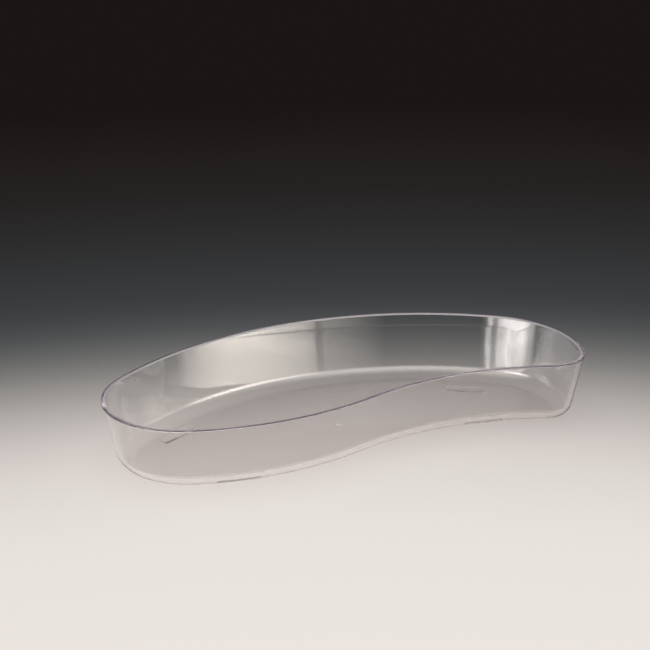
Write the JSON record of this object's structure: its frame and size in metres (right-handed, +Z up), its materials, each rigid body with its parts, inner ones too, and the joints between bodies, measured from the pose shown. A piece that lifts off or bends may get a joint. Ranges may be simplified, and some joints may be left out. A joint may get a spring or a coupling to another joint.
{
  "type": "kidney dish",
  "caption": "Clear plastic kidney dish with a smooth sloping wall, a rounded bottom edge, a flat floor, a flat-topped rim and low feet.",
  "frame": {"origin": "middle of the dish's plan box, on the surface that its feet stand on", "axes": "+X along the long axis towards the narrower end, +Y towards the long convex back, +Z up; the hollow waist faces -Y"},
  "size_m": [0.2693, 0.1294, 0.038],
  "materials": {
    "clear_plastic": "clear, glossy, very faint violet tint",
    "clear_plastic_edge": "clear, glossy; the edge gathers light and looks a little more violet"
  },
  "bodies": {
    "root": {"floor_panel": "clear_plastic", "corner_bend": "clear_plastic", "side_wall": "clear_plastic", "rim": "clear_plastic_edge", "foot_front_left": "clear_plastic", "foot_front_right": "clear_plastic", "foot_back_left": "clear_plastic", "foot_back_right": "clear_plastic", "gate_mark": "clear_plastic"}
  },
  "joints": []
}
